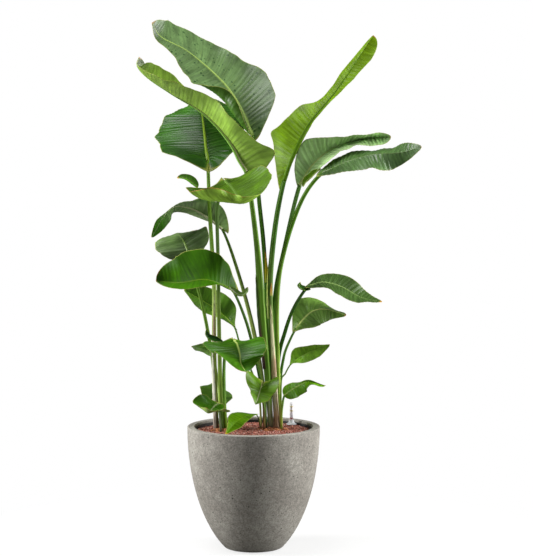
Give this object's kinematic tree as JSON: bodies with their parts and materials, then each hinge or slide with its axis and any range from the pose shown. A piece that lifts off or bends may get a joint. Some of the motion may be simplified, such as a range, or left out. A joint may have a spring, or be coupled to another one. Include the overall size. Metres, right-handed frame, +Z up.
{
  "type": "potted bird of paradise",
  "caption": "Tall potted bird of paradise plant: paddle leaves on long stalks in two clumps, in a round concrete planter filled with lava granulate, with a water gauge.",
  "frame": {"origin": "middle of the planter's flat underside", "axes": "+Z up, -Y towards the viewer, +X to the viewer's right (the side with the water gauge)"},
  "size_m": [0.7817, 0.5301, 1.477],
  "materials": {
    "concrete": "cast concrete, matt, finely speckled with small pores",
    "liner_plastic": "black moulded polypropylene, matt",
    "fired_clay": "rough fired clay pellets",
    "roots": "matt roots and clay",
    "lava": "broken lava, matt, red-brown",
    "leaf_blade": "waxy leaf, half gloss, fine side veins",
    "leaf_stalk": "smooth green stalk, half gloss, streaked",
    "dry_sheath": "dry papery leaf sheath",
    "gauge_grey": "moulded grey plastic",
    "gauge_black": "moulded black plastic",
    "gauge_white": "moulded white plastic",
    "gauge_clear": "clear moulded acrylic",
    "gauge_red": "red moulded plastic"
  },
  "bodies": {
    "root": {"planter": "concrete", "liner": "liner_plastic", "root_ball_left": "roots", "root_ball_right": "roots", "clay_pellets": "fired_clay", "lava_granulate": "lava", "blade_upper_left": "leaf_blade", "stalk_upper_left": "leaf_stalk", "blade_long_left": "leaf_blade", "stalk_long_left": "leaf_stalk", "blade_broad_back": "leaf_blade", "stalk_broad_back": "leaf_stalk", "blade_cup_front": "leaf_blade", "stalk_cup_front": "leaf_stalk", "blade_folded_left": "leaf_blade", "stalk_folded_left": "leaf_stalk", "blade_large_left": "leaf_blade", "stalk_large_left": "leaf_stalk", "blade_drooping_front": "leaf_blade", "stalk_drooping_front": "leaf_stalk", "blade_arching_left": "leaf_blade", "stalk_arching_left": "leaf_stalk", "blade_middle_back": "leaf_blade", "stalk_middle_back": "leaf_stalk", "blade_small_left": "leaf_blade", "stalk_small_left": "leaf_stalk", "blade_low_back": "leaf_blade", "stalk_low_back": "leaf_stalk", "blade_low_left": "leaf_blade", "stalk_low_left": "leaf_stalk", "blade_rim_front": "leaf_blade", "stalk_rim_front": "leaf_stalk", "blade_heart_front": "leaf_blade", "stalk_heart_front": "leaf_stalk", "blade_tall_right": "leaf_blade", "stalk_tall_right": "leaf_stalk", "blade_broad_right": "leaf_blade", "stalk_broad_right": "leaf_stalk", "blade_outer_right": "leaf_blade", "stalk_outer_right": "leaf_stalk", "blade_arching_right": "leaf_blade", "stalk_arching_right": "leaf_stalk", "blade_middle_right": "leaf_blade", "stalk_middle_right": "leaf_stalk", "blade_small_right": "leaf_blade", "stalk_small_right": "leaf_stalk", "blade_low_right": "leaf_blade", "stalk_low_right": "leaf_stalk", "sheath_dry_left": "dry_sheath", "sheath_cream_right": "dry_sheath", "sheath_yellow_tip": "dry_sheath", "sheath_orange_tip": "dry_sheath", "sheath_dark_left": "dry_sheath", "gauge_sleeve": "gauge_black", "gauge_flange": "gauge_grey", "gauge_head": "gauge_clear", "gauge_float": "gauge_white", "gauge_rod": "gauge_white", "gauge_marker": "gauge_red", "gauge_scale": "gauge_white"}
  },
  "joints": []
}
